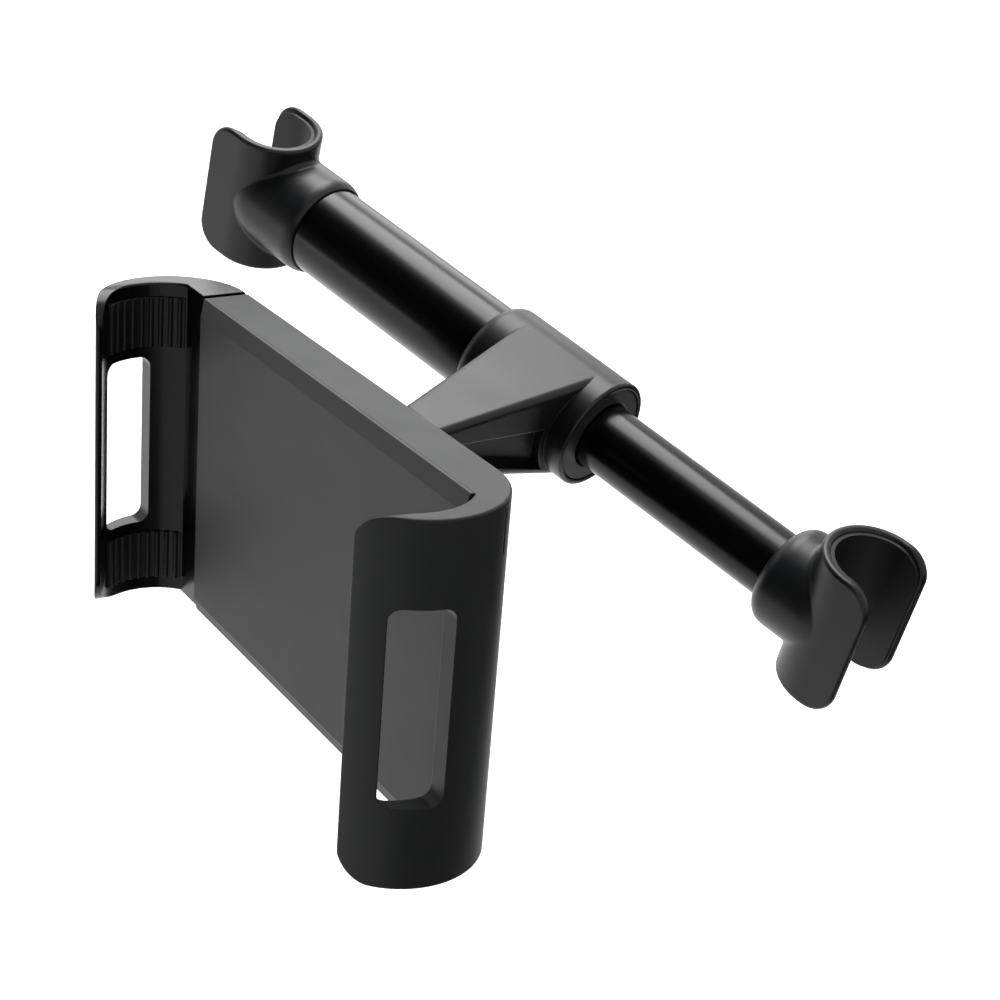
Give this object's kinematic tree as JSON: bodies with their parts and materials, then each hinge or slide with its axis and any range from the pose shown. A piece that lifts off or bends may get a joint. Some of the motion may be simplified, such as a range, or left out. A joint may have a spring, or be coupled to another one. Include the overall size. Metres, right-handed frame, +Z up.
{
  "type": "headrest tablet mount",
  "caption": "Telescopic bar with hooks for headrest posts, a tapered arm and a ball-jointed tablet holder with a sprung sliding jaw.",
  "frame": {"origin": "axis of the headrest post in the left hook, level with the axis of the crossbar", "axes": "+X along the crossbar to the right hook, +Y from the tablet towards the seat, +Z up the headrest posts"},
  "size_m": [0.2014, 0.1331, 0.1113],
  "materials": {
    "outer_tube": "satin black coating on steel",
    "barrel_clip": "spring steel",
    "tube_guide": "satin nylon",
    "left_hook": "satin moulded plastic",
    "left_hook_liner": "matte rubber",
    "inner_tube": "satin black coating on steel",
    "lock_plug": "moulded nylon",
    "lock_expander": "moulded nylon",
    "right_hook": "satin moulded plastic",
    "right_hook_liner": "matte rubber",
    "arm_housing": "satin moulded plastic",
    "barrel_sleeve": "acetal liner",
    "ball_stud": "plated steel",
    "ball_cup": "acetal liner",
    "ball_seat": "acetal liner",
    "lock_ring": "satin moulded plastic",
    "rear_housing": "satin moulded plastic",
    "front_cover": "fine matte rubberised plastic",
    "cover_screws": "blackened steel",
    "right_grip_pads": "matte rubber",
    "left_jaw": "glossy moulded plastic",
    "left_grip_pads": "matte rubber",
    "guide_rods": "polished steel",
    "rod_bridge": "moulded nylon",
    "jaw_springs": "spring steel"
  },
  "bodies": {
    "bar": {"outer_tube": "outer_tube", "tube_guide": "tube_guide", "barrel_clip": "barrel_clip", "left_hook": "left_hook", "left_hook_liner": "left_hook_liner"},
    "expander": {"lock_expander": "lock_expander"},
    "slider": {"inner_tube": "inner_tube", "lock_plug": "lock_plug", "right_hook": "right_hook", "right_hook_liner": "right_hook_liner"},
    "arm": {"arm_housing": "arm_housing", "barrel_sleeve": "barrel_sleeve", "ball_stud": "ball_stud"},
    "cup": {"ball_cup": "ball_cup"},
    "seat": {"ball_seat": "ball_seat"},
    "holder": {"rear_housing": "rear_housing", "front_cover": "front_cover", "cover_screws": "cover_screws", "right_grip_pads": "right_grip_pads", "jaw_springs": "jaw_springs"},
    "ring": {"lock_ring": "lock_ring"},
    "jaw": {"left_jaw": "left_jaw", "left_grip_pads": "left_grip_pads", "guide_rods": "guide_rods", "rod_bridge": "rod_bridge"}
  },
  "joints": [
    {"name": "bar_slide", "type": "slide", "parent": "bar", "child": "expander", "axis": [1, 0, 0], "range_m": [-0.05, 0.022]},
    {"name": "bar_twist", "type": "hinge", "parent": "expander", "child": "slider", "pos_m": [0.0763, 0, 0], "axis": [1, 0, 0], "range_deg": [-90, 90]},
    {"name": "arm_turn", "type": "hinge", "parent": "bar", "child": "arm", "pos_m": [0.0984, 0, 0], "axis": [1, 0, 0], "continuous": true},
    {"name": "ball_pan", "type": "hinge", "parent": "arm", "child": "cup", "pos_m": [0.0984, -0.05944, 0.01016], "axis": [0, 0.1685, 0.9857], "range_deg": [-4.5, 39.5]},
    {"name": "ball_lift", "type": "hinge", "parent": "cup", "child": "seat", "pos_m": [0.0984, -0.05944, 0.01016], "axis": [0.9537, -0.2964, 0.0507], "range_deg": [-29.8, 14.2]},
    {"name": "ball_spin", "type": "hinge", "parent": "seat", "child": "holder", "pos_m": [0.0984, -0.05944, 0.01016], "axis": [0.2979, 0.9543, -0.0254], "continuous": true},
    {"name": "ring_turn", "type": "hinge", "parent": "holder", "child": "ring", "pos_m": [0.0984, -0.05944, 0.01016], "axis": [0.2979, 0.9543, -0.0254], "range_deg": [0, 360]},
    {"name": "jaw_slide", "type": "slide", "parent": "holder", "child": "jaw", "axis": [-0.9131, 0.2771, -0.299], "range_m": [0, 0.08], "stiffness_N_per_m": 190, "springref_m": -0.05, "deforming": ["jaw_springs"]}
  ]
}
